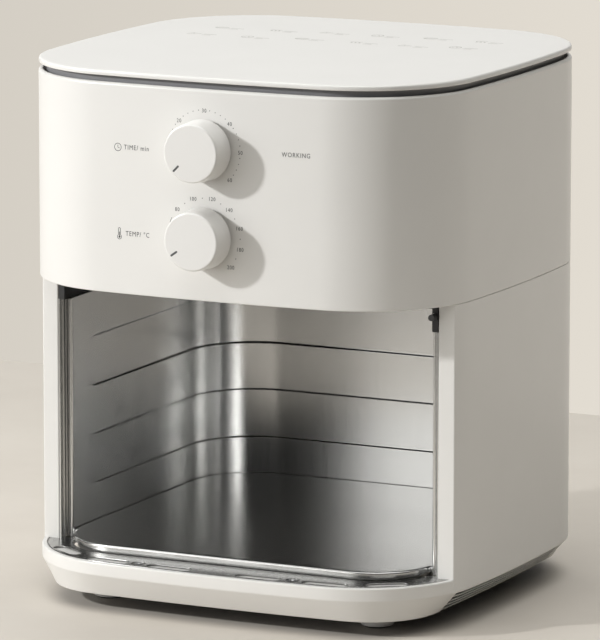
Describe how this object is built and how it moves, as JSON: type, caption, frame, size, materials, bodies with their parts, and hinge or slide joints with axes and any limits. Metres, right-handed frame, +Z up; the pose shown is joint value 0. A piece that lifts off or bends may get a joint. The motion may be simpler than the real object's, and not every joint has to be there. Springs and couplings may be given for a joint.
{
  "type": "air fryer",
  "caption": "Upright dial air fryer housing with rounded corners, an open steel-lined drawer bay, stacked timer and temperature knobs, flat lid and short feet.",
  "frame": {"origin": "on the table, under the middle of the housing's outline", "axes": "+X to the object's right as seen from the front, +Y to the back, +Z up"},
  "size_m": [0.264, 0.287, 0.305],
  "materials": {
    "white_shell": "fine satin moulded surface",
    "knob_white": "satin moulded surface",
    "pointer_grey": "printed inlay",
    "waist_grey": "satin moulded surface",
    "base_dark": "plain moulded surface",
    "foot_rubber": "matte",
    "frame_black": "heat-resistant moulding",
    "liner_steel": "rolled sheet",
    "sill_steel": "rolled sheet",
    "screw_steel": "zinc-plated",
    "guard_wire": "plated wire",
    "coil_sheath": "oxidised sheath",
    "pressed_steel": "pressed sheet",
    "chamber_steel": "bright reflector sheet",
    "mica_felt": "pressed mineral felt",
    "fan_aluminium": "pressed sheet",
    "shaft_steel": "ground",
    "brass_parts": "turned or pressed",
    "copper_parts": "drawn copper",
    "black_moulding": "plain moulded surface",
    "core_iron": "stacked sheets",
    "winding_copper": "lacquered winding",
    "cream_moulding": "plain moulded surface",
    "lamp_lens": "clear orange lens",
    "plunger_grey": "smooth moulded surface"
  },
  "bodies": {
    "housing": {"lower_shell": "white_shell", "base_plate": "base_dark", "feet": "base_dark", "foot_pads": "foot_rubber", "foot_screws": "screw_steel", "base_screws": "screw_steel", "upper_shell": "white_shell", "waist_ring": "waist_grey", "top_lid": "white_shell", "lid_screws": "screw_steel", "sill_plate": "sill_steel", "sill_screws": "screw_steel", "liner_floor": "liner_steel", "cavity_liner": "liner_steel", "left_trim": "liner_steel", "right_trim": "liner_steel", "heater_frame": "frame_black", "frame_screws": "screw_steel", "ceiling_plate": "liner_steel", "fan_guard": "guard_wire", "guard_screws": "screw_steel", "heating_coil": "coil_sheath", "coil_clips": "pressed_steel", "heat_chamber": "chamber_steel", "insulation_pad": "mica_felt", "air_duct": "black_moulding", "motor_bracket": "pressed_steel", "bracket_posts": "screw_steel", "bracket_screws": "screw_steel", "lower_bearing_bridge": "pressed_steel", "upper_bearing_bridge": "pressed_steel", "motor_core": "core_iron", "motor_winding": "winding_copper", "motor_bolts": "screw_steel", "thermal_cutout": "black_moulding", "rear_hood": "white_shell", "cord_gland": "black_moulding", "gland_nut": "black_moulding", "terminal_block": "cream_moulding", "control_bracket": "pressed_steel", "control_screws": "screw_steel", "timer_body": "cream_moulding", "timer_bell": "brass_parts", "thermostat_body": "cream_moulding", "sensor_bulb": "copper_parts", "indicator_lamp": "lamp_lens", "drawer_switch": "black_moulding"},
    "timer_dial": {"timer_shaft": "shaft_steel", "timer_knob": "knob_white", "timer_pointer": "pointer_grey"},
    "temperature_dial": {"thermostat_shaft": "shaft_steel", "temp_knob": "knob_white", "temp_pointer": "pointer_grey"},
    "fan_set": {"hot_fan": "fan_aluminium", "fan_nut": "brass_parts", "fan_shaft": "shaft_steel", "cooling_fan": "black_moulding", "motor_rotor": "fan_aluminium"},
    "switch_button": {"switch_plunger": "plunger_grey"}
  },
  "joints": [
    {"name": "timer_turn", "type": "hinge", "parent": "housing", "child": "timer_dial", "pos_m": [0, -0.1275, 0.2655], "axis": [0, 1, 0], "range_deg": [0, 270]},
    {"name": "temperature_turn", "type": "hinge", "parent": "housing", "child": "temperature_dial", "pos_m": [0, -0.1275, 0.2172], "axis": [0, 1, 0], "range_deg": [0, 259]},
    {"name": "fan_spin", "type": "hinge", "parent": "housing", "child": "fan_set", "pos_m": [0, 0.012, 0.21], "axis": [0, 0, 1], "continuous": true},
    {"name": "drawer_switch_press", "type": "slide", "parent": "housing", "child": "switch_button", "axis": [0, 1, 0], "range_m": [0, 0.0035], "stiffness_N_per_m": 200, "springref_m": -0.003}
  ]
}
